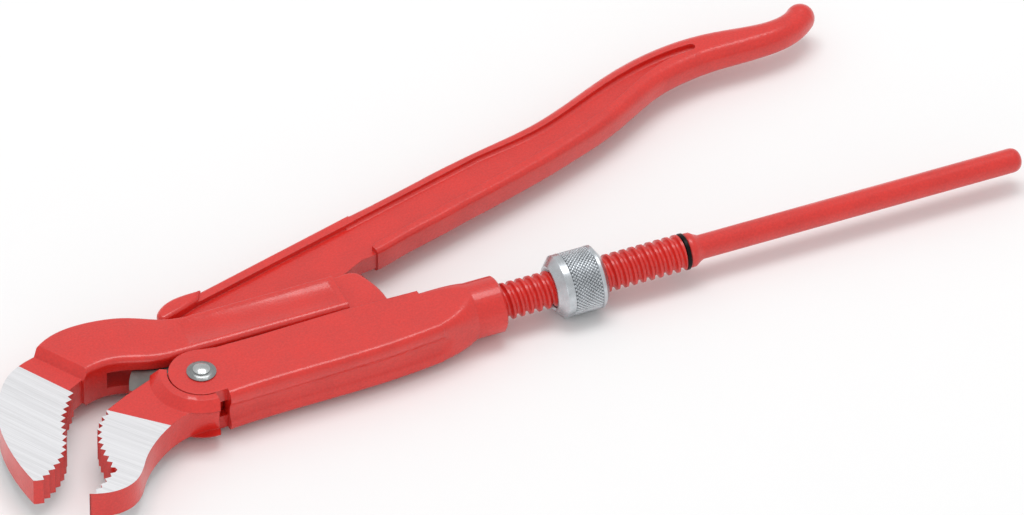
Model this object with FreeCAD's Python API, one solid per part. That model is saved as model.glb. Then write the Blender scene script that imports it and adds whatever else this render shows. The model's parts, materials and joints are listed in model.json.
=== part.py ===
"""Swedish-pattern corner pipe wrench with S-shaped jaws, for pipes up to about 1 1/2 inch.

Frame: the wrench lies on its side. +X runs along the spindle from the jaws to the end of the round
handle, +Y points to the I-section handle, +Z is up, and Z = 0 is the middle plane of the tool.
The finished pieces have their origin on the spindle axis where the round handle starts. While they are
being shaped, X is counted from the pivot pin, because everything is forged and milled around it.
"""
import FreeCAD, Part
import math
import os

V = FreeCAD.Vector

# ---- driving sizes, in millimetres and degrees --------------------------------------------------
JAW_THICKNESS = 12.4          # both jaws, across the teeth
ARM_THICKNESS = 19.6          # arm of the hook jaw
ARM_STRAIGHT = 66.5           # straight rear part of the arm, from the pivot to its rear shoulder
BLADE_THICKNESS = 7.2         # handle leg where it passes through the arm
FLANGE_THICKNESS = 11.5       # flanges of the I-section handle
HANDLE_STRAIGHT = 152.0       # straight part of the I-section handle, along its slope
HUB_RADIUS = 16.6             # round shoulder of the lower jaw around the ears
EAR_RADIUS = 13.1             # ears of the sleeve
PIN_RADIUS = 4.0              # shank of the pivot rivet
PIN_HEAD_RADIUS = 5.9         # rivet head and rivet washer
THREAD_RADIUS = 7.5           # crests of the spindle thread
THREAD_PITCH = 3.7
THREAD_DEPTH = 1.45
SPINDLE_RUN = 145.0           # from the rear of the arm to the start of the round handle
ROD_RADIUS = 4.95             # round handle
ROD_LENGTH = 138.0
SLEEVE_WALL = 2.45            # cheeks of the sleeve
SLEEVE_LENGTH = 127.0         # from the pivot to the rear face of the boss
BOSS_LENGTH = 13.0
BOSS_WALL = 3.6
NUT_RADIUS = 12.8
NUT_LENGTH = 21.5
NUT_GAP = 22.0                # between the boss and the nut as the wrench is shown
RING_WIDTH = 2.0              # retaining ring behind the thread
TOOTH_PITCH = 3.7
TOOTH_DEPTH = 1.9
LUG_HALF = 7.5                # stop lug at the front of the handle's upper flange
WASHER_THICKNESS = 1.3
KNURL_DEPTH = 0.45            # the knurled band of the nut lies this much below its lips
SLEEVE_TRAVEL = 14.0          # how far the sleeve slides back from where it is shown
OPENING_ANGLE = 12.0          # how far the handle swings towards the spindle

# ---- clearances ---------------------------------------------------------------------------------
SIDE_PLAY = 0.3               # beside each sliding or turning flat face
PIN_PLAY = 0.06               # radial, rivet in the handle leg
BORE_PLAY = 0.35              # radial, spindle crests in the boss
THREAD_PLAY = 0.38            # nut thread over spindle thread
RING_PLAY = 0.05              # radial, ring in its groove

# ---- sizes that follow from them ----------------------------------------------------------------
PIVOT = V(0, -2.6, 0)
JAW_HALF = JAW_THICKNESS / 2
ARM_HALF = ARM_THICKNESS / 2
BLADE_HALF = BLADE_THICKNESS / 2
FLANGE_HALF = FLANGE_THICKNESS / 2
SLOT_HALF = BLADE_HALF + SIDE_PLAY
TAIL_HALF = THREAD_RADIUS - 0.2
CHANNEL_HALF = THREAD_RADIUS + 0.1
SLEEVE_HALF = CHANNEL_HALF + SLEEVE_WALL
HUB_HALF = SLEEVE_HALF
RECESS_RADIUS = EAR_RADIUS + 0.5
BOSS_BORE = THREAD_RADIUS + BORE_PLAY
BOSS_RADIUS = BOSS_BORE + BOSS_WALL
ARM_REAR = ARM_STRAIGHT + 2.0
NOSE_X = ARM_REAR + 16.5
SHOULDER_X = ARM_REAR + SPINDLE_RUN
RING_X = SHOULDER_X - 8.3
THREAD_ROOT = THREAD_RADIUS - THREAD_DEPTH
GROOVE_RADIUS = THREAD_ROOT - 0.15
NUT_X = SLEEVE_LENGTH + NUT_GAP


# ---- helpers ------------------------------------------------------------------------------------
def curve(points):
    """One smooth edge through the points."""
    spline = Part.BSplineCurve()
    spline.interpolate([V(x, y, 0) for x, y in points])
    return spline.toShape()


def lines(points):
    """Straight edges from point to point."""
    points = [V(x, y, 0) for x, y in points]
    return [Part.LineSegment(a, b).toShape() for a, b in zip(points, points[1:])]


def plate(edges, half, low=None):
    """The solid inside a closed outline, between the heights low and half."""
    low = -half if low is None else low
    wire = Part.Wire(Part.__sortEdges__(edges))
    solid = Part.Face(wire).extrude(V(0, 0, half - low))
    solid.translate(V(0, 0, low))
    return solid


def box(x0, x1, y0, y1, z0, z1):
    return Part.makeBox(x1 - x0, y1 - y0, z1 - z0, V(x0, y0, z0))


def rod(radius, x0, x1):
    """A round bar on the spindle axis."""
    return Part.makeCylinder(radius, x1 - x0, V(x0, 0, 0), V(1, 0, 0))


def disc(radius, z0, z1, centre=PIVOT):
    return Part.makeCylinder(radius, z1 - z0, V(centre.x, centre.y, z0), V(0, 0, 1))


def sector(radius, first, last, z0, z1):
    """A pie slice around the pivot, between two directions in degrees."""
    piece = Part.makeCylinder(radius, z1 - z0, V(PIVOT.x, PIVOT.y, z0), V(0, 0, 1), last - first)
    piece.rotate(PIVOT, V(0, 0, 1), first)
    return piece


def turned(profile):
    """A solid of revolution about the spindle axis from (x, radius) pairs."""
    points = [V(x, r, 0) for x, r in profile]
    face = Part.Face(Part.makePolygon(points + [points[0]]))
    return face.revolve(V(0, 0, 0), V(1, 0, 0), 360)


def toothed(points, pitch, depth, lean=0.62):
    """Corner points of a row of saw teeth whose tips lie on a smooth line; roots are to its right."""
    line = Part.BSplineCurve()
    line.interpolate([V(x, y, 0) for x, y in points])
    count = max(3, round(line.length() / pitch))
    ends = line.discretize(count + 1)
    corners = []
    for tip, following in zip(ends, ends[1:]):
        along = following - tip
        inward = V(along.y, -along.x, 0).normalize()
        root = tip + along * lean + inward * depth
        corners += [(tip.x, tip.y), (root.x, root.y)]
    return corners + [(ends[-1].x, ends[-1].y)]


def level_edges(solid, height, keep):
    """Edges that lie at one height and whose middle point passes the test."""
    found = []
    for edge in solid.Edges:
        span = edge.BoundBox
        if abs(span.ZMin - height) > 1e-4 or abs(span.ZMax - height) > 1e-4:
            continue
        middle = edge.valueAt((edge.FirstParameter + edge.LastParameter) / 2)
        if keep(middle):
            found.append(edge)
    return found


def rounded(solid, half, radius, keep):
    """Round the chosen edges of a plate on both of its faces."""
    for height in (half, -half):
        solid = solid.makeFillet(radius, level_edges(solid, height, keep))
    return solid


def both_sides(solid):
    """A cutter or pad and its mirror image below the middle plane."""
    return [solid, solid.mirror(V(0, 0, 0), V(0, 0, 1))]


def one_solid(shape):
    shape = shape.removeSplitter()
    return shape.Solids[0] if len(shape.Solids) == 1 else shape


# ---- thread -------------------------------------------------------------------------------------
def thread_groove(start, end, play=0.0):
    """The solid that cuts a rounded single-start right-hand thread into the spindle.

    With play it is smaller all round, which is the room that the nut's own thread may fill."""
    root = THREAD_ROOT + play
    lip = THREAD_RADIUS - 0.1
    half = THREAD_PITCH * 0.36 - play * 0.8
    bend = root + (lip - root) * 0.3
    side = [(THREAD_RADIUS + 1.0, 1.0), (lip, 1.0), (bend, 0.62), (root, 0.25)]
    profile = [V(r, 0, -half * share) for r, share in side] + [V(r, 0, half * share) for r, share in reversed(side)]
    helix = Part.makeLongHelix(THREAD_PITCH, end - start, THREAD_RADIUS, 0, False)
    groove = Part.Wire(helix.Edges).makePipeShell([Part.makePolygon(profile + [profile[0]])], True, True)
    groove.rotate(V(0, 0, 0), V(0, 1, 0), 90)
    groove.translate(V(start, 0, 0))
    return groove


# ---- leg with the hook jaw: jaw, slotted arm, spindle and round handle in one forging ------------
STEP = [(-56.0, 34.6), (-43.0, 14.3)]          # front of the thick arm, where the jaw starts
ARM_BACK = [(-56.0, 34.6), (-50.6, 38.8), (-43.5, 41.5), (-34.5, 42.4), (-26.0, 41.7),
            (-17.8, 39.8), (-9.2, 35.9), (-3.5, 33.0), (2.0, 31.3), (9.0, 30.8)]
ARM_BELLY = [(-43.0, 14.3), (-38.5, 16.2), (-32.0, 17.1), (-24.5, 15.7), (-17.5, 13.2),
             (-11.0, 11.6), (-4.0, 11.2)]
ARM_TOP_Y = 30.8
ARM_LOW_Y = 11.2
WINDOW_FRONT = -32.0
WINDOW_REAR = 42.0
STEP_LEAN = 0.9                                # slope of the step from the arm down to the jaw


def hook_jaw_plate():
    tip = (-82.5, -32.0)
    outside = curve([(-50.0, 36.0), (-56.5, 34.4), (-63.5, 31.9), (-69.3, 28.3), (-76.4, 19.4), (-81.3, 9.2),
                     (-83.9, -2.0), (-84.5, -12.0), (-84.0, -22.0), tip])
    bite = toothed([(-81.4, -32.5), (-76.1, -29.5), (-70.2, -25.0), (-66.4, -20.6), (-63.8, -15.2),
                    (-62.0, -10.0), (-60.6, -5.0), (-57.9, 0.3), (-54.0, 5.6), (-50.4, 11.2)],
                   TOOTH_PITCH, TOOTH_DEPTH)
    rest = lines([tip] + bite + [(-44.0, 14.6), (-30.0, 26.0), (-50.0, 36.0)])
    return plate([outside] + rest, JAW_HALF)


def step_cut():
    """The wedge taken off each face of the arm, down to the jaw."""
    (x0, y0), (x1, y1) = STEP
    run = V(x1 - x0, y1 - y0, 0)
    length = run.Length
    run.normalize()
    drop = ARM_HALF - JAW_HALF
    ahead = V(run.y, -run.x, 0)
    reach, spare = 5.0, 15.0
    ramp = Part.makePolygon([V(0, 0, 0), V(0, 0, drop) - ahead * drop * STEP_LEAN,
                             V(0, 0, drop) + ahead * reach, ahead * reach, V(0, 0, 0)])
    wedge = Part.Face(ramp).extrude(run * (length + 2 * spare))
    wedge.translate(V(x0, y0, JAW_HALF) - run * spare)
    return both_sides(wedge)


def panel_recess():
    """A shallow sunk panel with sloping borders on each face of the arm."""
    wall = 1.1
    depth = 0.8
    outer = [1.6, ARM_STRAIGHT - 0.2, ARM_LOW_Y + 2.9, ARM_TOP_Y - 2.2]
    wires = []
    for height, inset in ((ARM_HALF - depth, wall), (ARM_HALF + 0.4, -wall * 0.5)):
        x0, x1, y0, y1 = outer[0] + inset, outer[1] - inset, outer[2] + inset, outer[3] - inset
        wires.append(Part.makePolygon([V(x0, y0, height), V(x1, y0, height), V(x1, y1, height),
                                       V(x0, y1, height), V(x0, y0, height)]))
    return both_sides(Part.makeLoft(wires, True, True))


def slot_floor():
    """Height of the slot's floor along X: just below the handle's web when it is swung right in."""
    turn = math.radians(-OPENING_ANGLE)
    ends = []
    for x, y in (BLADE_REAR[-1], BLADE_REAR[-2]):
        up = y - PIVOT.y
        ends.append((x * math.cos(turn) - up * math.sin(turn) + SLEEVE_TRAVEL,
                     PIVOT.y + x * math.sin(turn) + up * math.cos(turn) - 3 * SIDE_PLAY))
    (x0, y0), (x1, y1) = ends
    return lambda x: (x, y0 + (x - x0) * (y1 - y0) / (x1 - x0))


def hook_jaw_leg():
    arm = plate([curve(ARM_BACK), curve(ARM_BELLY)]
                + lines([ARM_BACK[-1], (ARM_REAR, ARM_TOP_Y), (ARM_REAR, ARM_LOW_Y), ARM_BELLY[-1]])
                + lines(STEP), ARM_HALF)
    arm = rounded(arm, ARM_HALF, 2.8, lambda p: p.y < 18 and ARM_REAR - 0.1 > p.x > STEP[1][0] + 0.5)
    arm = rounded(arm, ARM_HALF, 1.2, lambda p: p.y > 30 and ARM_REAR - 0.1 > p.x > STEP[0][0] + 0.5)
    for cutter in step_cut() + panel_recess():
        arm = arm.cut(cutter)
    nose = NOSE_X
    tail = plate([curve([(nose - 9.5, 32.4), (nose - 5.4, 30.8), (nose - 2.9, 26.0), (nose - 0.6, 18.5),
                         (nose, 11.0)])]
                 + lines([(nose, 11.0), (nose, -TAIL_HALF), (WINDOW_REAR, -TAIL_HALF),
                          (WINDOW_REAR, ARM_LOW_Y + 4), (ARM_REAR - 8, ARM_TOP_Y - 2),
                          (ARM_REAR - 5, 31.6), (nose - 9.5, 32.4)]), TAIL_HALF)
    tail = rounded(tail, TAIL_HALF, 1.4, lambda p: p.x > ARM_REAR or p.y < -5)
    spindle = rod(THREAD_RADIUS, NOSE_X - 2, RING_X)
    spindle = spindle.cut(thread_groove(NOSE_X + 1.0, RING_X + THREAD_PITCH))
    # Ring groove, collar and round handle with a domed end.
    collar = RING_X + RING_WIDTH + 0.2
    end = SHOULDER_X + ROD_LENGTH
    handle = turned([(end, 0), (RING_X - 1, 0), (RING_X - 1, GROOVE_RADIUS), (collar, GROOVE_RADIUS),
                     (collar, THREAD_RADIUS - 0.9), (collar + 0.5, THREAD_RADIUS - 0.5),
                     (collar + 2.4, THREAD_RADIUS - 0.55), (SHOULDER_X - 1.6, ROD_RADIUS + 0.7),
                     (SHOULDER_X, ROD_RADIUS), (end, ROD_RADIUS)])
    handle = handle.makeFillet(ROD_RADIUS * 0.8, [edge for edge in handle.Edges
                                                  if edge.BoundBox.XMin > end - 0.01 and edge.Closed])
    floor = slot_floor()
    slot = plate(lines([(WINDOW_FRONT, -12), (WINDOW_REAR, -12), floor(WINDOW_REAR), floor(nose + 8),
                        (nose + 8, 60), (WINDOW_FRONT, 60), (WINDOW_FRONT, -12)]), SLOT_HALF)
    head = one_solid(hook_jaw_plate().fuse([arm, tail]).cut(slot))
    return head.fuse([spindle, handle]).Solids[0]


# ---- leg with the lower jaw: jaw, hub, blade and I-section handle in one forging -----------------
HUB_FIRST, HUB_LAST = 152.0, 273.0             # directions between which the hub has its full width
HUB_EDGE = 3.4                                 # rounding of the hub along the back of the jaw
BLADE_FRONT = 28.5                             # radius of the blade's front edge about the pivot


def polar(radius, degrees):
    a = math.radians(degrees)
    return (PIVOT.x + radius * math.cos(a), PIVOT.y + radius * math.sin(a))


def lower_jaw_edges():
    tip, heel = (-65.1, -47.4), (2.6, -15.6)
    bite = toothed([tip, (-60.0, -44.8), (-56.4, -41.8), (-53.2, -39.6)], TOOTH_PITCH, TOOTH_DEPTH * 0.8)
    bite += [(-51.2, -39.8), (-49.9, -38.8), (-50.2, -37.2)]
    bite += toothed([(-51.8, -36.4), (-51.9, -30.0), (-51.4, -23.4), (-49.7, -16.8), (-46.2, -10.2),
                     (-41.4, -5.4)], TOOTH_PITCH, TOOTH_DEPTH)
    back = curve([tip, (-60.0, -49.2), (-54.5, -49.9), (-49.6, -49.2), (-45.3, -47.2), (-41.3, -43.3),
                  (-36.9, -36.8), (-31.8, -31.1), (-25.5, -25.9), (-17.8, -21.4), (-9.0, -19.0),
                  (-2.6, -18.6), heel])
    top = lines([bite[-1], (-31.0, -0.1), (-17.6, 5.4), polar(9, 110), polar(9, 30), polar(9, 300), heel])
    return [back] + top, bite


def lower_jaw():
    edges, bite = lower_jaw_edges()
    outline = edges + lines(bite)
    jaw = plate(outline, JAW_HALF)
    body = rounded(plate(outline, HUB_HALF), HUB_HALF, HUB_EDGE, lambda p: p.x > -48 and p.y < -17)
    hub = sector(HUB_RADIUS, HUB_FIRST, HUB_LAST, -HUB_HALF, HUB_HALF).common(body)
    skirt_height = HUB_HALF - JAW_HALF
    skirt = Part.makeCone(HUB_RADIUS + skirt_height, HUB_RADIUS, skirt_height, V(PIVOT.x, PIVOT.y, JAW_HALF))
    side = sector(HUB_RADIUS * 2, HUB_FIRST, HUB_LAST, 0, HUB_HALF)
    pads = [pad.common(body) for pad in both_sides(skirt.common(side))]
    return jaw.fuse([hub] + pads)


def grip(points):
    """Points of the curved grip, moved out or in with the length of the straight part."""
    grow = HANDLE_STRAIGHT - 152.0
    return [(x + grow * math.cos(HANDLE_SLOPE), y + grow * math.sin(HANDLE_SLOPE)) for x, y in points]


HANDLE_SLOPE = math.radians(15.6)
# Cross-sections of the I-section handle: back point, belly point, half thickness, corner radius.
STRAIGHT = [((85.0, 64.5), (92.5, 40.9), FLANGE_HALF, 2.2),
            ((111.3, 71.1), (118.0, 48.5), FLANGE_HALF, 2.3),
            ((139.6, 79.0), (146.0, 56.6), FLANGE_HALF, 2.4)]
GRIP = [((166.5, 85.2), (172.0, 64.4), 0.0, 2.7), ((182.0, 89.7), (189.0, 70.3), 0.1, 3.2),
        ((196.0, 95.6), (205.0, 76.5), 0.3, 3.8), ((211.0, 102.6), (220.0, 84.2), 0.4, 4.3),
        ((228.0, 108.9), (235.0, 92.2), 0.5, 4.7), ((246.0, 112.7), (249.0, 96.2), 0.5, 5.0),
        ((262.0, 113.3), (262.0, 97.8), 0.5, 5.2), ((276.0, 111.8), (276.0, 97.8), 0.4, 5.3),
        ((286.9, 110.7), (289.2, 98.5), 0.3, 5.2), ((294.8, 111.9), (299.5, 101.1), 0.0, 5.0),
        ((299.6, 115.0), (308.0, 106.6), -0.2, 5.2)]
POCKET_FILLET = 1.4                            # where the web meets the flanges
BEAM_STEPS = 2                                 # cross-sections drawn between two listed ones
POCKET_BACK = [(150.0, 77.6), (163.0, 80.0), (178.0, 83.4), (194.0, 89.3), (210.0, 96.4), (228.0, 102.9),
               (254.0, 107.0)]
POCKET_BELLY = [(254.0, 103.6), (234.0, 98.6), (216.0, 88.6), (202.0, 81.6), (186.0, 75.4), (172.0, 70.2),
                (158.0, 65.8)]
LUG = [(0.0, 34.5), (-2.2, 35.4), (-2.7, 37.9), (-0.9, 40.8), (3.2, 43.6), (8.4, 45.1), (13.6, 45.5),
       (19.0, 45.7)]
BLADE_REAR = [(92.0, 41.4), (85.5, 40.4), (20.0, 6.0)]


def section(back, belly, half, corner):
    """A rounded rectangle across the handle, standing on the line from belly to back."""
    up = V(back[0] - belly[0], back[1] - belly[1], 0)
    middle = V((back[0] + belly[0]) / 2, (back[1] + belly[1]) / 2, 0)
    wide = up.Length / 2
    up.normalize()
    across = V(0, 0, 1)
    corner = min(corner, wide - 0.1, half - 0.1)
    cosine = math.cos(math.radians(45))
    edges = []
    last = None
    for su, sz in ((1, 1), (-1, 1), (-1, -1), (1, -1)):
        centre = middle + up * su * (wide - corner) + across * sz * (half - corner)
        along = centre + up * su * corner
        side = centre + across * sz * corner
        first, second = (along, side) if su * sz > 0 else (side, along)
        bend = centre + (up * su + across * sz) * corner * cosine
        if last is not None:
            edges.append(Part.LineSegment(last, first).toShape())
        else:
            start = first
        edges.append(Part.Arc(first, bend, second).toShape())
        last = second
    edges.append(Part.LineSegment(last, start).toShape())
    return Part.Wire(edges)


def handle_beam():
    """The whole I-section handle before its pockets, drawn through closely spaced cross-sections."""
    stations = STRAIGHT + [(*grip([back, belly]), FLANGE_HALF + extra, corner)
                           for back, belly, extra, corner in GRIP]
    rails = []
    for values in ([(*back, 0) for back, *_ in stations], [(*belly, 0) for _, belly, *_ in stations],
                   [(10 * i, half, corner) for i, (*_, half, corner) in enumerate(stations)]):
        rail = Part.BSplineCurve()
        rail.interpolate(Points=[V(*value) for value in values], Parameters=[float(i) for i in range(len(values))])
        rails.append(rail)
    wires = []
    for i in range(BEAM_STEPS * (len(stations) - 1) + 1):
        back, belly, size = [rail.value(i / BEAM_STEPS) for rail in rails]
        wires.append(section((back.x, back.y), (belly.x, belly.y), size.y, size.z))
    beam = Part.makeLoft(wires, True, False)
    back, belly, half, corner = stations[-1]
    ball = Part.makeSphere(math.dist(back, belly) / 2, V((back[0] + belly[0]) / 2, (back[1] + belly[1]) / 2, 0))
    return beam.fuse(ball)


def handle_pocket():
    """The hollow beside the web on one face, from the open front to the groove in the grip."""
    back, belly = grip(POCKET_BACK), grip(POCKET_BELLY)
    front_low = (93.0, 45.6)
    edges = [curve(back), curve(belly)]
    tip = (back[-1][1] - belly[0][1]) / 2
    edges.append(Part.Arc(V(*back[-1], 0), V(back[-1][0] + tip, back[-1][1] - tip, 0),
                          V(*belly[0], 0)).toShape())
    edges += lines([belly[-1], front_low, (88.6, 42.1), (80.0, 30.0), (60.0, 52.6), back[0]])
    pocket = plate(edges, FLANGE_HALF + 5, BLADE_HALF)
    return pocket.makeFillet(POCKET_FILLET, level_edges(pocket, BLADE_HALF, lambda p: p.x > 92))


def handle_leg():
    back, belly = grip(POCKET_BACK), grip(POCKET_BELLY)
    front = Part.Arc(V(*polar(BLADE_FRONT, 165), 0), V(*polar(BLADE_FRONT, 145), 0),
                     V(*polar(BLADE_FRONT, 126), 0)).toShape()
    hub = [polar(10.4, -20), polar(10.4, -55), polar(12.0, -90), polar(HUB_RADIUS - 2.6, 240),
           polar(HUB_RADIUS - 2.6, 200)]
    web = plate([front, curve(back), curve(belly)]
                + lines([polar(BLADE_FRONT, 126), (-2.2, 36.8), (3.0, 42.6), (14.0, 44.2), back[0]])
                + lines([back[-1], belly[0]])
                + lines([belly[-1], (110.0, 50.0)] + BLADE_REAR + hub + [polar(BLADE_FRONT, 165)]), BLADE_HALF)
    flange = plate(lines([(8.0, 43.1), (90.0, 65.9), (92.0, 61.3), (14.0, 39.6), (6.0, 37.7), (8.0, 43.1)]),
                   FLANGE_HALF)
    flange = rounded(flange, FLANGE_HALF, 2.0, lambda p: p.y > 54)
    beam = handle_beam()
    for cutter in both_sides(handle_pocket()):
        beam = beam.cut(cutter)
    lug = plate([curve(LUG)] + lines([LUG[-1], (16.0, 40.4), (8.1, 37.1), LUG[0]]), LUG_HALF)
    lug = rounded(lug, LUG_HALF, 2.0, lambda p: True)
    leg = one_solid(web.fuse([flange, lug, lower_jaw()]))
    for z0, z1 in ((BLADE_HALF, HUB_HALF + 1), (-HUB_HALF - 1, -BLADE_HALF)):
        leg = leg.cut(disc(RECESS_RADIUS, z0, z1))
    leg = leg.cut(disc(PIN_RADIUS + PIN_PLAY, -BLADE_HALF - 1, BLADE_HALF + 1))
    return leg.fuse(beam).Solids[0]


# ---- sleeve: slides on the arm's tail and the spindle, and carries the pivot in its two ears ------
SLEEVE_FRONT = 5.8
CHANNEL_FLOOR = -12.0
CHEEK_TOP = [(9.6, 8.6), (28.0, 8.6), (65.0, 9.6), (84.0, 9.1), (96.0, 8.8)]
KEEL = [(5.8, -19.4), (34.0, -18.1), (76.0, -17.2), (90.0, -15.9), (98.0, -14.9)]


def keel_flute():
    """A round-ended groove along the keel, from the open front to just before the boss."""
    width, depth = 4.75, 1.5
    radius = (width ** 2 + depth ** 2) / (2 * depth)
    stops = [V(x, y - radius + depth, 0) for x, y in (KEEL[0], KEEL[2], KEEL[-1])]
    stops[0].x -= 10
    flute = Part.makeSphere(radius, stops[-1])
    for first, last in zip(stops, stops[1:]):
        flute = flute.fuse([Part.makeCylinder(radius, (last - first).Length, first, last - first),
                            Part.makeSphere(radius, first)])
    return flute


def sleeve():
    neck = SLEEVE_LENGTH - BOSS_LENGTH
    end = KEEL[-1][0]
    body = plate([curve(KEEL)] + lines(CHEEK_TOP + [KEEL[-1]])
                 + lines([CHEEK_TOP[0], (SLEEVE_FRONT, 6.0), KEEL[0]]), SLEEVE_HALF)
    body = rounded(body, SLEEVE_HALF, 3.0, lambda p: p.y < -14.0 and SLEEVE_FRONT + 1 < p.x < end - 1)
    sections = []
    for x, top, low, half, corner in ((end - 4.0, 8.8, -15.35, SLEEVE_HALF, 3.0),
                                      (end + 1.0, 9.0, -14.5, SLEEVE_HALF, 3.2),
                                      (neck - 6.0, 10.0, -12.9, BOSS_RADIUS - 0.6, 6.4),
                                      (neck + 0.5, BOSS_RADIUS, -BOSS_RADIUS, BOSS_RADIUS, BOSS_RADIUS - 0.12)):
        wire = section((0, top), (0, low), half, corner)
        wire.translate(V(x, 0, 0))
        sections.append(wire)
    blend = Part.makeLoft(sections, True, False)
    rim = 0.8
    boss = turned([(neck, 0), (neck, BOSS_RADIUS), (SLEEVE_LENGTH - rim, BOSS_RADIUS),
                   (SLEEVE_LENGTH, BOSS_RADIUS - rim), (SLEEVE_LENGTH, 0)])
    shell = body.fuse([blend, boss])
    shell = shell.cut(box(-40, end + 1.0, CHANNEL_FLOOR, 30, -CHANNEL_HALF, CHANNEL_HALF))
    shell = shell.cut(rod(BOSS_BORE, end - 4.0, SLEEVE_LENGTH + 5))
    shell = shell.cut(keel_flute())
    # Each ear is a round pad that reaches in to the blade.
    neck_outline = [polar(EAR_RADIUS, 70), (10.5, 8.6), (14.0, 8.6), (14.0, -15.0), polar(EAR_RADIUS, -88),
                    (0, PIVOT.y), polar(EAR_RADIUS, 70)]
    for z0, z1 in ((SLOT_HALF, SLEEVE_HALF), (-SLEEVE_HALF, -SLOT_HALF)):
        shell = shell.fuse(disc(EAR_RADIUS, z0, z1).fuse(plate(lines(neck_outline), z1, z0)))
    return shell.cut(disc(PIN_RADIUS, -SLEEVE_HALF - 1, SLEEVE_HALF + 1)).Solids[0]


# ---- small pieces -------------------------------------------------------------------------------
def dome(radius, height, z, up):
    """A shallow round head that stands on the plane z."""
    ball = (radius ** 2 + height ** 2) / (2 * height)
    cap = Part.makeSphere(ball, V(PIVOT.x, PIVOT.y, z - up * (ball - height)))
    low, high = sorted((z, z + up * (height + 1)))
    return cap.common(disc(radius + 1, low, high))


def pivot_rivet():
    """Shank, factory head below and closing head above the washer."""
    top = SLEEVE_HALF + WASHER_THICKNESS
    shank = disc(PIN_RADIUS, -SLEEVE_HALF, SLEEVE_HALF)
    neck = disc(PIN_RADIUS - 1.2, SLEEVE_HALF, top)
    skirt = disc(PIN_HEAD_RADIUS, -SLEEVE_HALF - 0.6, -SLEEVE_HALF)
    low = dome(PIN_HEAD_RADIUS, 2.0, -SLEEVE_HALF - 0.6, -1)
    close = disc(PIN_RADIUS - 0.6, top, top + 0.4).fuse(dome(PIN_RADIUS - 0.6, 0.9, top + 0.4, 1))
    return one_solid(shank.fuse([neck, skirt, low, close]))


def rivet_washer():
    """Domed washer under the closing head."""
    base = disc(PIN_HEAD_RADIUS, SLEEVE_HALF, SLEEVE_HALF + 0.5)
    cap = dome(PIN_HEAD_RADIUS, 1.6, SLEEVE_HALF + 0.5, 1)
    flat = disc(PIN_HEAD_RADIUS, SLEEVE_HALF, SLEEVE_HALF + WASHER_THICKNESS)
    body = base.fuse(cap).common(flat)
    return one_solid(body.cut(disc(PIN_RADIUS - 1.2, SLEEVE_HALF - 1, SLEEVE_HALF + 5)))


def adjusting_nut():
    r = NUT_RADIUS
    x0, x1 = NUT_X, NUT_X + NUT_LENGTH
    band0, band1 = x0 + 6.6, x1 - 3.5
    lip = 0.3
    outside = turned([(x0, 0), (x0, r - 3.5), (x0 + 3.3, r), (band0 - lip, r), (band0, r - KNURL_DEPTH),
                      (band1, r - KNURL_DEPTH), (band1 + lip, r), (x1 - 2.0, r), (x1, r - 2.9), (x1, 0)])
    bore = THREAD_ROOT + THREAD_PLAY + 0.3
    blank = outside.cut(rod(bore, x0 - 1, x1 + 1))
    mouth = THREAD_RADIUS + THREAD_PLAY + 1.0
    for x, out in ((x0, -1), (x1, 1)):
        blank = blank.cut(Part.makeCone(mouth, bore, 2.4, V(x + out * 0.4, 0, 0), V(-out, 0, 0)))
    # What the thread needs: the spindle's own crest, grown by the play.
    crest = rod(THREAD_RADIUS + THREAD_PLAY, x0 - 3, x1 + 3)
    turns = math.floor((x0 - 12 - (NOSE_X + 1.0)) / THREAD_PITCH)
    crest = crest.cut(thread_groove(NOSE_X + 1.0 + turns * THREAD_PITCH, x1 + 12, THREAD_PLAY))
    return blank.cut(crest).Solids[0]


def retaining_ring():
    inner, outer = GROOVE_RADIUS + RING_PLAY, THREAD_RADIUS - 0.05
    x0, x1 = RING_X + 0.1, RING_X + 0.1 + RING_WIDTH
    edge = 0.45
    return turned([(x0, inner), (x0, outer - edge), (x0 + edge, outer), (x1 - edge, outer), (x1, outer - edge),
                   (x1, inner)])


PIECES = {
    "hook_jaw_leg": hook_jaw_leg,
    "handle_leg": handle_leg,
    "sleeve": sleeve,
    "pivot_rivet": pivot_rivet,
    "rivet_washer": rivet_washer,
    "adjusting_nut": adjusting_nut,
    "retaining_ring": retaining_ring,
}


def main():
    os.makedirs("parts", exist_ok=True)
    for name, make in PIECES.items():
        shape = make()
        shape.translate(V(-SHOULDER_X, 0, 0))
        shape.exportStep(f"parts/{name}.step")
        print(f"{name}: {len(shape.Solids)} solid, {shape.Volume / 1000:.1f} cm3, valid {shape.isValid()}")


if __name__ == "__main__":
    main()
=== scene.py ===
import json
import math

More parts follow.
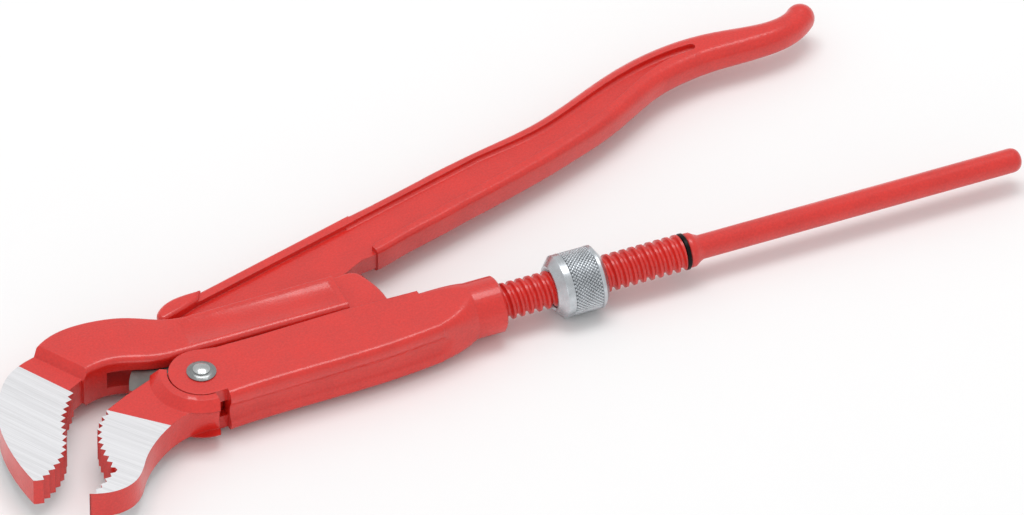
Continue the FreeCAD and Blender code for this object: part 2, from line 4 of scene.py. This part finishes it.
import bmesh
import bpy
from bpy.props import FloatProperty, FloatVectorProperty, IntProperty, PointerProperty
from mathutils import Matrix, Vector


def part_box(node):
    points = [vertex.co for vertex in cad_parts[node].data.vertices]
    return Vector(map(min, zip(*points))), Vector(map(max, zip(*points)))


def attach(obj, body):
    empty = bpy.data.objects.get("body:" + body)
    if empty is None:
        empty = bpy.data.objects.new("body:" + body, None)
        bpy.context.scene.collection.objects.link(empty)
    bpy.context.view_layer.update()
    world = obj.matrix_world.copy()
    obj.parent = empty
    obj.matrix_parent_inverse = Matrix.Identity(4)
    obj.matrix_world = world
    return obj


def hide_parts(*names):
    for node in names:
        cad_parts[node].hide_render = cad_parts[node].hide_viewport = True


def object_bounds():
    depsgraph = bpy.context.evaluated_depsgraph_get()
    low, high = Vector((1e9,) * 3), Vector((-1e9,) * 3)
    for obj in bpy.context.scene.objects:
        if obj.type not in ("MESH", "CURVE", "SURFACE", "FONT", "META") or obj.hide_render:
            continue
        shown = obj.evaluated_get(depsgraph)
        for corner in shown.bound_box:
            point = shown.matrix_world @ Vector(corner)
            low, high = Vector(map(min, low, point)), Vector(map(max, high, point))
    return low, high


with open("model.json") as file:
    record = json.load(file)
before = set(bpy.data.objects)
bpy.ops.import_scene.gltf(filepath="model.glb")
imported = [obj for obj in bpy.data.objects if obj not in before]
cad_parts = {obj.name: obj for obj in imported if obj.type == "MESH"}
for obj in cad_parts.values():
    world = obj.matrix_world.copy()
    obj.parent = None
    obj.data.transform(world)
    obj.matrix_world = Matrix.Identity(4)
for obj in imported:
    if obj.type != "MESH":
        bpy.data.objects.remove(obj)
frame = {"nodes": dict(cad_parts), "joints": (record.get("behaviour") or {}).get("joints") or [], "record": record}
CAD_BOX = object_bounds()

bl_info = {
    "name": "Swedish-pattern pipe wrench",
    "version": (1, 0, 0),
    "blender": (4, 5, 0),
    "location": "3D View > Sidebar > Pipe wrench",
    "description": "Finishes the pieces of a corner pipe wrench and lights them",
    "category": "Object",
}

MM = 0.001
PEEL_DEPTH = 0.35 * MM                         # height of the enamel's orange peel in the bump
GRINDING = {"spacing": 0.5 * MM, "depth": 0.06 * MM}
TURNING = {"spacing": 0.3 * MM, "depth": 0.03 * MM}
COAT_ROUGHNESS = 0.14
KNURL_FROM_FRONT = 6.6 * MM                    # knurled band of the nut, from its two faces
KNURL_FROM_REAR = 3.5 * MM
KNURL_BED = 0.5 * MM                           # the diamonds stand this deep below the nut's lips
BODIES = {node: body for body, nodes in frame["record"]["behaviour"]["bodies"].items() for node in nodes}
PIVOT = Vector(next(j["pos_m"] for j in frame["joints"] if j["name"] == "jaw_pivot"))


# ---- settings -----------------------------------------------------------------------------------
def colour(name, description, default):
    return FloatVectorProperty(name=name, description=description, default=default, subtype="COLOR",
                               size=3, min=0.0, max=1.0)


def share(name, description, default):
    return FloatProperty(name=name, description=description, default=default, min=0.0, max=1.0,
                         subtype="FACTOR")


def length(name, description, default):
    return FloatProperty(name=name, description=description, default=default, min=0.0, subtype="DISTANCE",
                         unit="LENGTH", precision=5)


class EnamelSettings(bpy.types.PropertyGroup):
    shade: colour("Enamel", "Colour of the red enamel", (0.72, 0.022, 0.014))
    thin_shade: colour("Thin enamel", "Colour where the enamel lies thinner", (0.56, 0.014, 0.009))
    roughness: share("Roughness", "Roughness of the enamel", 0.33)
    gloss: share("Gloss", "Weight of the clear gloss on top", 0.45)
    peel_size: length("Peel size", "Width of the orange-peel dimples", 0.9 * MM)
    edge_radius: length("Edge radius", "How far the enamel rounds an edge", 0.7 * MM)


class SteelSettings(bpy.types.PropertyGroup):
    ground_shade: colour("Ground steel", "Colour of the ground sides of the jaws", (0.84, 0.84, 0.86))
    bare_shade: colour("Bare forging", "Colour of the unpainted edge inside the arm", (0.20, 0.20, 0.19))
    rivet_shade: colour("Rivet", "Colour of the rivet and its washer", (0.58, 0.60, 0.60))
    ring_shade: colour("Ring", "Colour of the retaining ring", (0.018, 0.018, 0.018))


class NutSettings(bpy.types.PropertyGroup):
    shade: colour("Zinc", "Colour of the zinc plating", (0.62, 0.65, 0.68))
    around: IntProperty(name="Knurls around", description="Diamonds around the nut", default=50, min=12,
                        max=120)
    rows: IntProperty(name="Knurl rows", description="Rows of diamonds along the nut", default=14, min=3,
                      max=40)
    height: length("Knurl height", "How far the diamonds stand up", 0.42 * MM)


class StageSettings(bpy.types.PropertyGroup):
    floor_shade: colour("Floor", "Colour of the floor", (0.90, 0.90, 0.90))
    key: FloatProperty(name="Panel light", description="Power of the large overhead panel", default=19.0,
                       min=0.0, unit="POWER")
    fill: FloatProperty(name="Fill light", description="Power of the low light on the camera's side",
                        default=6.0, min=0.0, unit="POWER")
    ambient: FloatProperty(name="Ambient", description="Strength of the white surroundings", default=0.75,
                           min=0.0)


# ---- node tools ---------------------------------------------------------------------------------
def node(tree, kind, name=None, **values):
    """Adds a node. Values name its properties; names starting with a capital are its input sockets."""
    made = tree.nodes.new(kind)
    if name:
        made.name = made.label = name
    for key, value in values.items():
        if key[0].isupper():
            put(tree, made.inputs[key.replace("_", " ")], value)
        else:
            setattr(made, key, value)
    return made


def put(tree, socket, value):
    if isinstance(value, bpy.types.NodeSocket):
        tree.links.new(value, socket)
    else:
        socket.default_value = value


def maths(tree, operation, *values):
    made = tree.nodes.new("ShaderNodeMath")
    made.operation = operation
    for socket, value in zip(made.inputs, values):
        put(tree, socket, value)
    return made.outputs[0]


def ramp(tree, value, low, high, to_low=0.0, to_high=1.0):
    made = node(tree, "ShaderNodeMapRange", Value=value)
    for key, number in (("From Min", low), ("From Max", high), ("To Min", to_low), ("To Max", to_high)):
        made.inputs[key].default_value = number
    return made.outputs["Result"]


def group(name, inputs, outputs):
    """An empty shader group with float or vector inputs and float outputs."""
    tree = bpy.data.node_groups.new(name, "ShaderNodeTree")
    for label, default in inputs.items():
        kind = "NodeSocketVector" if default is None else "NodeSocketFloat"
        socket = tree.interface.new_socket(label, in_out="INPUT", socket_type=kind)
        if default is not None:
            socket.default_value = default
    for label in outputs:
        tree.interface.new_socket(label, in_out="OUTPUT", socket_type="NodeSocketFloat")
    return tree, tree.nodes.new("NodeGroupInput").outputs, tree.nodes.new("NodeGroupOutput").inputs


def noise(tree, vector, scale, detail=2.0, roughness=0.5):
    return node(tree, "ShaderNodeTexNoise", Vector=vector, Scale=scale, Detail=detail,
                Roughness=roughness).outputs["Fac"]


def peel_group():
    """Orange peel of sprayed enamel over a forged skin."""
    tree, given, out = group("Sprayed skin", {"Place": None, "Peel size": 0.0016, "Skin size": 0.012},
                             ("Height", "Mottle", "Grain"))
    peel = noise(tree, given["Place"], maths(tree, "DIVIDE", 1.0, given["Peel size"]), 2.0)
    skin = noise(tree, given["Place"], maths(tree, "DIVIDE", 1.0, given["Skin size"]), 3.0)
    tree.links.new(maths(tree, "ADD", maths(tree, "MULTIPLY", peel, 0.4), skin), out["Height"])
    tree.links.new(ramp(tree, skin, 0.35, 0.65), out["Mottle"])
    tree.links.new(ramp(tree, peel, 0.3, 0.7), out["Grain"])
    return tree


def lines_group():
    """Fine straight lines left by a grinding belt."""
    tree, given, out = group("Grinding lines", {"Place": None, "Angle": 0.0, "Spacing": 0.0004},
                             ("Height", "Streak"))
    turned = node(tree, "ShaderNodeVectorRotate", rotation_type="Z_AXIS", Vector=given["Place"],
                  Angle=given["Angle"]).outputs[0]
    spread = node(tree, "ShaderNodeVectorMath", operation="MULTIPLY")
    put(tree, spread.inputs[0], turned)
    spread.inputs[1].default_value = (0.02, 1.0, 1.0)
    fine = noise(tree, spread.outputs[0], maths(tree, "DIVIDE", 1.0, given["Spacing"]), 3.0, 0.6)
    broad = noise(tree, spread.outputs[0], maths(tree, "DIVIDE", 0.22, given["Spacing"]), 2.0)
    tree.links.new(fine, out["Height"])
    tree.links.new(ramp(tree, maths(tree, "ADD", fine, broad), 0.75, 1.25), out["Streak"])
    return tree


def material(name):
    made = bpy.data.materials.new(name)
    made.use_nodes = True
    tree = made.node_tree
    tree.nodes.clear()
    shader = tree.nodes.new("ShaderNodeBsdfPrincipled")
    out = tree.nodes.new("ShaderNodeOutputMaterial")
    tree.links.new(shader.outputs[0], out.inputs["Surface"])
    place = tree.nodes.new("ShaderNodeTexCoord").outputs["Object"]
    return made, tree, shader, place


def effect(tree, source, **values):
    made = tree.nodes.new("ShaderNodeGroup")
    made.node_tree = source
    for key, value in values.items():
        put(tree, made.inputs[key.replace("_", " ")], value)
    return made.outputs


def blend(tree, factor, first, second):
    made = node(tree, "ShaderNodeMix", data_type="RGBA")
    put(tree, made.inputs["Factor"], factor)
    made.inputs[6].default_value = (*first, 1.0)
    made.inputs[7].default_value = (*second, 1.0)
    return made.outputs[2]


def bumped(tree, height, depth, strength=1.0, radius=0.0):
    """A normal from a height, over edges that are rounded by a radius."""
    bump = node(tree, "ShaderNodeBump", Height=height, Distance=depth, Strength=strength)
    if radius:
        edge = node(tree, "ShaderNodeBevel", samples=6, Radius=radius)
        tree.links.new(edge.outputs[0], bump.inputs["Normal"])
    return bump.outputs[0]


# ---- finishes -----------------------------------------------------------------------------------
def enamel():
    """Gloss red enamel, sprayed over the assembled tool."""
    if "Red enamel" in bpy.data.materials:
        return bpy.data.materials["Red enamel"]
    set_up = bpy.context.scene.wrench_enamel
    made, tree, shader, place = material("Red enamel")
    skin = effect(tree, bpy.data.node_groups["Sprayed skin"], Place=place, Peel_size=set_up.peel_size)
    uneven = maths(tree, "ADD", maths(tree, "MULTIPLY", skin["Mottle"], 0.35),
                   maths(tree, "MULTIPLY", skin["Grain"], 0.65))
    tree.links.new(blend(tree, uneven, set_up.shade, set_up.thin_shade), shader.inputs["Base Color"])
    tree.links.new(ramp(tree, skin["Mottle"], 0.0, 1.0, set_up.roughness - 0.03, set_up.roughness + 0.05),
                   shader.inputs["Roughness"])
    shader.inputs["Coat Weight"].default_value = set_up.gloss
    shader.inputs["Coat Roughness"].default_value = COAT_ROUGHNESS
    tree.links.new(bumped(tree, skin["Height"], PEEL_DEPTH, 0.8, set_up.edge_radius), shader.inputs["Normal"])
    return made


def ground_steel(name, angle):
    """Side of a jaw, ground bare after painting."""
    set_up = bpy.context.scene.wrench_steel
    made, tree, shader, place = material(name)
    lines = effect(tree, bpy.data.node_groups["Grinding lines"], Place=place, Angle=math.radians(angle),
                   Spacing=GRINDING["spacing"])
    dark = [c * 0.80 for c in set_up.ground_shade]
    tree.links.new(blend(tree, lines["Streak"], dark, set_up.ground_shade), shader.inputs["Base Color"])
    tree.links.new(ramp(tree, lines["Streak"], 0.0, 1.0, 0.46, 0.36), shader.inputs["Roughness"])
    shader.inputs["Metallic"].default_value = 0.75
    tree.links.new(bumped(tree, lines["Height"], GRINDING["depth"], 0.6), shader.inputs["Normal"])
    return made


def plated(name, shade, roughness, radius=0.0):
    """Bright plated steel with the marks of turning or pressing."""
    made, tree, shader, place = material(name)
    lines = effect(tree, bpy.data.node_groups["Grinding lines"], Place=place, Angle=math.radians(90.0),
                   Spacing=TURNING["spacing"])
    skin = effect(tree, bpy.data.node_groups["Sprayed skin"], Place=place, Peel_size=0.8 * MM,
                  Skin_size=4.0 * MM)
    dull = [c * 0.82 for c in shade]
    tree.links.new(blend(tree, skin["Mottle"], shade, dull), shader.inputs["Base Color"])
    tree.links.new(ramp(tree, lines["Streak"], 0.0, 1.0, roughness + 0.07, roughness - 0.05),
                   shader.inputs["Roughness"])
    shader.inputs["Metallic"].default_value = 1.0
    tree.links.new(bumped(tree, lines["Height"], TURNING["depth"], 0.5, radius), shader.inputs["Normal"])
    return made


# ---- meshes -------------------------------------------------------------------------------------
def finished_copy(cad_node, name, materials, smooth_to=38.0, change=None):
    """A welded copy of a CAD node with smooth shading, which stands for that node."""
    source = frame["nodes"][cad_node]
    work = bmesh.new()
    work.from_mesh(source.data)
    bmesh.ops.remove_doubles(work, verts=work.verts, dist=0.000002)
    bmesh.ops.dissolve_degenerate(work, edges=work.edges, dist=0.000001)
    for face in work.faces:
        face.smooth = True
        face.material_index = 0
    if change:
        change(work)
    work.normal_update()
    for edge in work.edges:
        edge.smooth = len(edge.link_faces) == 2 and edge.calc_face_angle(0.0) < math.radians(smooth_to)
    mesh = bpy.data.meshes.new(name)
    work.to_mesh(mesh)
    work.free()
    for slot in materials:
        mesh.materials.append(slot)
    piece = bpy.data.objects.new(name, mesh)
    bpy.context.scene.collection.objects.link(piece)
    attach(piece, BODIES[cad_node])
    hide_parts(cad_node)
    return piece


def bare_sides(first, second, index):
    """Marks the jaw's side faces beyond the line from first to second as bare.

    The line is in millimetres, with X counted from the pivot."""
    start, end = [PIVOT_FOOT + Vector((x * MM, y * MM, 0)) for x, y in (first, second)]
    across = (end - start).normalized().cross(Vector((0, 0, 1)))

    def change(work):
        geometry = work.verts[:] + work.edges[:] + work.faces[:]
        bmesh.ops.bisect_plane(work, geom=geometry, dist=1e-7, plane_co=start, plane_no=across)
        work.normal_update()
        for face in work.faces:
            middle = face.calc_center_median()
            side = abs(face.normal.z) > 0.999 and abs(abs(middle.z) - JAW_SIDE) < JAW_SIDE * 0.01
            if side and (middle - start).dot(across) > 0:
                face.material_index = index
    return change


PIVOT_FOOT = Vector((PIVOT.x, 0, 0))
JAW_SIDE = 6.2 * MM                            # half thickness of both jaws
BLADE_SIDE = 3.6 * MM                          # half thickness of the blade
BLADE_COVERED = 24.0 * MM                      # up to here the arm hides the blade from the spray gun
BLADE_FRONT = 28.5 * MM                        # radius of the blade's front edge about the pivot


def bare_blade(index):
    """Marks the blade's sides and front edge inside the arm as bare forging."""
    def change(work):
        geometry = work.verts[:] + work.edges[:] + work.faces[:]
        bmesh.ops.bisect_plane(work, geom=geometry, dist=1e-7, plane_co=(0, BLADE_COVERED, 0),
                               plane_no=(0, 1, 0))
        work.normal_update()
        for face in work.faces:
            middle = face.calc_center_median()
            reach = math.hypot(middle.x - PIVOT.x, middle.y - PIVOT.y)
            side = abs(face.normal.z) > 0.999 and abs(abs(middle.z) - BLADE_SIDE) < 0.1 * MM
            front = abs(middle.z) < BLADE_SIDE and abs(reach - BLADE_FRONT) < 0.6 * MM
            front = front and middle.y > PIVOT.y
            if (side and middle.y < BLADE_COVERED) or front:
                face.material_index = index
    return change


class WRENCH_OT_hook_leg(bpy.types.Operator):
    """Finish the leg with the hook jaw, the thread and the round handle"""
    bl_idname = "wrench.hook_leg"
    bl_label = "Hook jaw leg"

    def execute(self, context):
        finished_copy("hook_jaw_leg", "hook_jaw_leg_painted", [enamel(), ground_steel("Ground hook jaw", 58)],
                      42.0, bare_sides((-63.5, 31.9), (-50.7, 11.3), 1))
        return {"FINISHED"}


class WRENCH_OT_handle_leg(bpy.types.Operator):
    """Finish the leg with the lower jaw and the I-section handle"""
    bl_idname = "wrench.handle_leg"
    bl_label = "Handle leg"

    def execute(self, context):
        jaw, blade = bare_sides((-41.1, -4.9), (-24.0, -20.3), 1), bare_blade(2)

        def change(work):
            jaw(work)
            blade(work)

        forging = plated("Bare forging", context.scene.wrench_steel.bare_shade, 0.5)
        finished_copy("handle_leg", "handle_leg_painted",
                      [enamel(), ground_steel("Ground lower jaw", 50), forging], 38.0, change)
        return {"FINISHED"}


class WRENCH_OT_sleeve(bpy.types.Operator):
    """Finish the sliding sleeve"""
    bl_idname = "wrench.sleeve"
    bl_label = "Sleeve"

    def execute(self, context):
        finished_copy("sleeve", "sleeve_painted", [enamel()])
        return {"FINISHED"}


class WRENCH_OT_rivet(bpy.types.Operator):
    """Finish the pivot rivet and its washer"""
    bl_idname = "wrench.rivet"
    bl_label = "Rivet and washer"

    def execute(self, context):
        set_up = context.scene.wrench_steel
        finished_copy("pivot_rivet", "pivot_rivet_bright", [plated("Bright rivet", set_up.rivet_shade, 0.22)])
        dark = [c * 0.55 for c in set_up.rivet_shade]
        finished_copy("rivet_washer", "rivet_washer_bright", [plated("Rivet washer", dark, 0.25)])
        return {"FINISHED"}


def knurl_tree():
    """Geometry nodes: rows of small diamonds around the X axis."""
    tree = bpy.data.node_groups.new("Diamond knurl", "GeometryNodeTree")
    new = tree.interface.new_socket
    for label, kind in (("Around", "NodeSocketInt"), ("Rows", "NodeSocketInt"),
                        ("Radius", "NodeSocketFloat"), ("Start", "NodeSocketFloat"),
                        ("Length", "NodeSocketFloat"), ("Height", "NodeSocketFloat"),
                        ("Finish", "NodeSocketMaterial")):
        new(label, in_out="INPUT", socket_type=kind)
    new("Geometry", in_out="OUTPUT", socket_type="NodeSocketGeometry")
    given = tree.nodes.new("NodeGroupInput").outputs
    out = tree.nodes.new("NodeGroupOutput").inputs

    count = maths(tree, "MULTIPLY", given["Around"], given["Rows"])
    points = node(tree, "GeometryNodePoints", Count=count)
    index = tree.nodes.new("GeometryNodeInputIndex").outputs[0]
    row = maths(tree, "FLOOR", maths(tree, "DIVIDE", maths(tree, "ADD", index, 0.5), given["Around"]))
    column = maths(tree, "SUBTRACT", index, maths(tree, "MULTIPLY", row, given["Around"]))
    shift = maths(tree, "MULTIPLY", maths(tree, "MODULO", row, 2.0), 0.5)
    step = maths(tree, "DIVIDE", maths(tree, "ADD", column, shift), given["Around"])
    turn = maths(tree, "MULTIPLY", step, 2 * math.pi)
    along = maths(tree, "ADD", given["Start"], maths(tree, "MULTIPLY", given["Length"], maths(
        tree, "DIVIDE", maths(tree, "ADD", row, 0.5), given["Rows"])))
    place = node(tree, "ShaderNodeCombineXYZ", X=along,
                 Y=maths(tree, "MULTIPLY", maths(tree, "COSINE", turn), given["Radius"]),
                 Z=maths(tree, "MULTIPLY", maths(tree, "SINE", turn), given["Radius"]))
    put(tree, points.inputs["Position"], place.outputs[0])

    across = maths(tree, "DIVIDE", maths(tree, "MULTIPLY", given["Radius"], 2 * math.pi), given["Around"])
    down = maths(tree, "MULTIPLY", maths(tree, "DIVIDE", given["Length"], given["Rows"]), 2.0)
    diamond = node(tree, "GeometryNodeMeshCone", Vertices=4, Side_Segments=1, Fill_Segments=1,
                   Radius_Top=0.24, Radius_Bottom=0.5, Depth=1.0)
    size = node(tree, "ShaderNodeCombineXYZ", X=down, Y=across, Z=given["Height"])
    # The cone's own axis is Z: it is turned to point away from the nut's axis.
    lean = node(tree, "ShaderNodeCombineXYZ", X=maths(tree, "SUBTRACT", turn, math.pi / 2))
    instances = node(tree, "GeometryNodeInstanceOnPoints", Points=points.outputs[0],
                     Instance=diamond.outputs["Mesh"], Rotation=lean.outputs[0], Scale=size.outputs[0])
    solid = node(tree, "GeometryNodeRealizeInstances", Geometry=instances.outputs[0])
    painted = node(tree, "GeometryNodeSetMaterial", Geometry=solid.outputs[0], Material=given["Finish"])
    tree.links.new(painted.outputs[0], out["Geometry"])
    return tree


def grown(name, tree, values):
    """Runs a geometry node tree once and keeps the result as a plain mesh."""
    holder = bpy.data.objects.new(name, bpy.data.meshes.new(name))
    bpy.context.scene.collection.objects.link(holder)
    modifier = holder.modifiers.new(tree.name, "NODES")
    modifier.node_group = tree
    for item in tree.interface.items_tree:
        if item.item_type == "SOCKET" and item.in_out == "INPUT" and item.name in values:
            modifier[item.identifier] = values[item.name]
    holder.update_tag()
    evaluated = holder.evaluated_get(bpy.context.evaluated_depsgraph_get())
    mesh = bpy.data.meshes.new_from_object(evaluated)
    holder.modifiers.clear()
    holder.data = mesh
    return holder


class WRENCH_OT_nut(bpy.types.Operator):
    """Finish the adjusting nut and cut its diamond knurl"""
    bl_idname = "wrench.nut"
    bl_label = "Adjusting nut"

    def execute(self, context):
        set_up = context.scene.wrench_nut
        zinc = plated("Zinc plate", set_up.shade, 0.30, radius=0.0004)
        low, high = map(Vector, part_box("adjusting_nut"))
        radius = high.z
        band = (low.x + KNURL_FROM_FRONT, high.x - KNURL_FROM_REAR)

        # The faces of the knurled band between the diamonds take slot 1, the painted shade.
        def change(work):
            for face in work.faces:
                middle = face.calc_center_median()
                depth = radius - math.hypot(middle.y, middle.z)
                if band[0] < middle.x < band[1] and abs(depth) < 0.8 * MM:
                    face.material_index = 1

        # Zinc at a quarter of its brightness on the faces between the diamonds: painted shade in the knurl's
        # valleys.
        knurl_valley_painted_shade = plated("Knurl valleys painted shade", [c * 0.25 for c in set_up.shade], 0.5)
        finished_copy("adjusting_nut", "adjusting_nut_body", [zinc, knurl_valley_painted_shade], 20.0, change)
        knurl = grown("adjusting_nut_knurl", knurl_tree(), {
            "Around": set_up.around, "Rows": set_up.rows, "Radius": radius - KNURL_BED, "Start": band[0],
            "Length": band[1] - band[0], "Height": set_up.height, "Finish": zinc})
        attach(knurl, BODIES["adjusting_nut"])
        return {"FINISHED"}


class WRENCH_OT_ring(bpy.types.Operator):
    """Finish the retaining ring"""
    bl_idname = "wrench.ring"
    bl_label = "Retaining ring"

    def execute(self, context):
        finished_copy("retaining_ring", "retaining_ring_black",
                      [plated("Black spring steel", context.scene.wrench_steel.ring_shade, 0.35)])
        return {"FINISHED"}


# ---- stage --------------------------------------------------------------------------------------
VIEW_AZIMUTH, VIEW_ELEVATION = -22.56, 42.0
VIEW_CENTRE = Vector((-0.0711, 0.02284, 0.0))
VIEW_DISTANCE = 8.0
VIEW_WIDTH = 0.4047
FLOOR_HALF = 6.0


def toward(azimuth, elevation):
    a, e = math.radians(azimuth), math.radians(elevation)
    return Vector((math.sin(a) * math.cos(e), -math.cos(a) * math.cos(e), math.sin(e)))


def panel_light(name, azimuth, elevation, distance, size, power):
    light = bpy.data.lights.new(name, "AREA")
    light.shape = "RECTANGLE"
    light.size, light.size_y = size
    light.energy = power
    holder = bpy.data.objects.new(name, light)
    back = toward(azimuth, elevation)
    holder.location = VIEW_CENTRE + back * distance
    holder.rotation_mode = "QUATERNION"
    holder.rotation_quaternion = (-back).to_track_quat("-Z", "Y")
    bpy.context.scene.collection.objects.link(holder)


class WRENCH_OT_stage(bpy.types.Operator):
    """Build the pale floor, the soft lights and the camera"""
    bl_idname = "wrench.stage"
    bl_label = "Stage"

    def execute(self, context):
        set_up = context.scene.wrench_stage
        floor_z = CAD_BOX[0].z
        mesh = bpy.data.meshes.new("floor")
        corners = [(x * FLOOR_HALF, y * FLOOR_HALF, floor_z) for x, y in ((-1, -1), (1, -1), (1, 1), (-1, 1))]
        mesh.from_pydata(corners, [], [(0, 1, 2, 3)])
        paint, tree, shader, place = material("Pale floor")
        grain = noise(tree, place, 40.0)
        pale = [c * 0.99 for c in set_up.floor_shade]
        tree.links.new(blend(tree, grain, set_up.floor_shade, pale), shader.inputs["Base Color"])
        shader.inputs["Roughness"].default_value = 0.9
        mesh.materials.append(paint)
        floor = bpy.data.objects.new("floor", mesh)
        context.scene.collection.objects.link(floor)

        world = bpy.data.worlds.new("Soft surroundings")
        world.use_nodes = True
        world.node_tree.nodes["Background"].inputs["Color"].default_value = (1, 1, 1, 1)
        world.node_tree.nodes["Background"].inputs["Strength"].default_value = set_up.ambient
        context.scene.world = world
        panel_light("Overhead panel", 157.5, 80.0, 2.2, (1.5, 0.9), set_up.key)
        panel_light("Camera fill", -35.0, 14.0, 2.4, (2.2, 0.6), set_up.fill)

        lens = bpy.data.cameras.new("Camera")
        lens.sensor_width = 36.0
        lens.lens = 36.0 * VIEW_DISTANCE / VIEW_WIDTH
        lens.clip_start, lens.clip_end = 0.5, 60.0
        camera = bpy.data.objects.new("Camera", lens)
        back = toward(VIEW_AZIMUTH, VIEW_ELEVATION)
        camera.location = VIEW_CENTRE + back * VIEW_DISTANCE
        camera.rotation_mode = "QUATERNION"
        camera.rotation_quaternion = (-back).to_track_quat("-Z", "Y")
        context.scene.collection.objects.link(camera)
        context.scene.camera = camera
        context.scene.view_settings.view_transform = "Standard"
        return {"FINISHED"}


class WRENCH_PT_panel(bpy.types.Panel):
    """Lists the pieces of the pipe wrench"""
    bl_idname = "WRENCH_PT_panel"
    bl_label = "Pipe wrench"
    bl_space_type = "VIEW_3D"
    bl_region_type = "UI"
    bl_category = "Pipe wrench"

    def draw(self, context):
        for settings in SETTINGS:
            column = self.layout.column(align=True)
            for name in SETTINGS[settings].__annotations__:
                column.prop(getattr(context.scene, settings), name)
        for operator in OPERATORS:
            self.layout.operator(operator.bl_idname)


SETTINGS = {"wrench_enamel": EnamelSettings, "wrench_steel": SteelSettings, "wrench_nut": NutSettings,
            "wrench_stage": StageSettings}
OPERATORS = (WRENCH_OT_hook_leg, WRENCH_OT_handle_leg, WRENCH_OT_sleeve, WRENCH_OT_rivet, WRENCH_OT_nut,
             WRENCH_OT_ring, WRENCH_OT_stage)


def register():
    for made in (*SETTINGS.values(), *OPERATORS, WRENCH_PT_panel):
        bpy.utils.register_class(made)
    for name, made in SETTINGS.items():
        setattr(bpy.types.Scene, name, PointerProperty(type=made))


def unregister():
    for name in SETTINGS:
        delattr(bpy.types.Scene, name)
    for made in reversed((*SETTINGS.values(), *OPERATORS, WRENCH_PT_panel)):
        bpy.utils.unregister_class(made)


def main():
    register()
    peel_group()
    lines_group()
    for operator in OPERATORS:
        family, name = operator.bl_idname.split(".")
        getattr(getattr(bpy.ops, family), name)()


if __name__ == "__main__":
    main()
